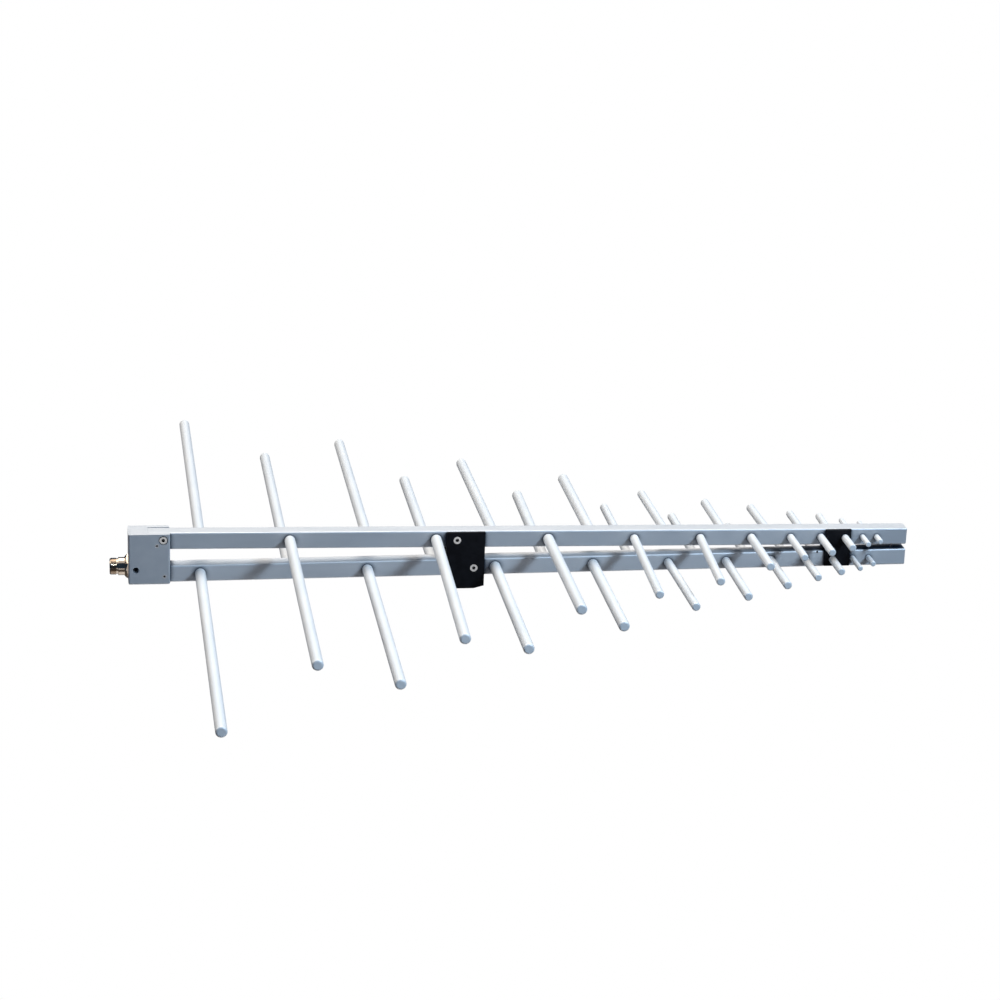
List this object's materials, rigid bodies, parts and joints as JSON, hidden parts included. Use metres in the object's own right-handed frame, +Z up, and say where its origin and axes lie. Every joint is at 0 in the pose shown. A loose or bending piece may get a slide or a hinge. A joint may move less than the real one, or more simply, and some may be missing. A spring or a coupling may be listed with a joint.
{
  "type": "log-periodic antenna",
  "caption": "Log-periodic dipole array: square tube booms with half rods on alternating sides, a rear block with a coaxial jack, and a black bracket with a tripod thread.",
  "frame": {"origin": "mouth of the tripod thread, at the centre of the bracket's bottom face", "axes": "+X along the booms to the tip, +Y across to the side away from the screws, +Z up"},
  "size_m": [0.7514, 0.7343, 0.058],
  "materials": {
    "boom_aluminium": "natural anodised, satin",
    "rod_aluminium": "turned and anodised, satin",
    "block_aluminium": "milled and bead blasted",
    "black_plastic": "milled acetal, matt",
    "stainless_screw": "bright turned",
    "nickel": "nickel plated",
    "insulator": "plain fluoropolymer",
    "gold_contact": "gold plated",
    "copper": "drawn copper"
  },
  "bodies": {
    "root": {"bracket_screws": "stainless_screw", "cable_core": "copper", "cable_dielectric": "insulator", "cable_shield": "copper", "clamp_screw": "stainless_screw", "element_01_far": "rod_aluminium", "element_01_near": "rod_aluminium", "element_02_far": "rod_aluminium", "element_02_near": "rod_aluminium", "element_03_far": "rod_aluminium", "element_03_near": "rod_aluminium", "element_04_far": "rod_aluminium", "element_04_near": "rod_aluminium", "element_05_far": "rod_aluminium", "element_05_near": "rod_aluminium", "element_06_far": "rod_aluminium", "element_06_near": "rod_aluminium", "element_07_far": "rod_aluminium", "element_07_near": "rod_aluminium", "element_08_far": "rod_aluminium", "element_08_near": "rod_aluminium", "element_09_far": "rod_aluminium", "element_09_near": "rod_aluminium", "element_10_far": "rod_aluminium", "element_10_near": "rod_aluminium", "element_11_far": "rod_aluminium", "element_11_near": "rod_aluminium", "element_12_far": "rod_aluminium", "element_12_near": "rod_aluminium", "element_13_far": "rod_aluminium", "element_13_near": "rod_aluminium", "element_14_far": "rod_aluminium", "element_14_near": "rod_aluminium", "element_15_far": "rod_aluminium", "element_15_near": "rod_aluminium", "element_16_far": "rod_aluminium", "element_16_near": "rod_aluminium", "element_17_far": "rod_aluminium", "element_17_near": "rod_aluminium", "element_18_pair": "rod_aluminium", "element_19_pair": "rod_aluminium", "element_20_pair": "rod_aluminium", "element_21_pair": "rod_aluminium", "element_22_pair": "rod_aluminium", "feed_bush": "insulator", "front_spacer_far": "black_plastic", "front_spacer_near": "black_plastic", "jack_contact": "gold_contact", "jack_insulator": "insulator", "jack_shell": "nickel", "lower_boom": "boom_aluminium", "lower_end_plug": "boom_aluminium", "mounting_bracket": "black_plastic", "rear_block": "block_aluminium", "set_screws": "stainless_screw", "tripod_insert": "stainless_screw", "upper_boom": "boom_aluminium", "upper_end_plug": "boom_aluminium"}
  },
  "joints": []
}
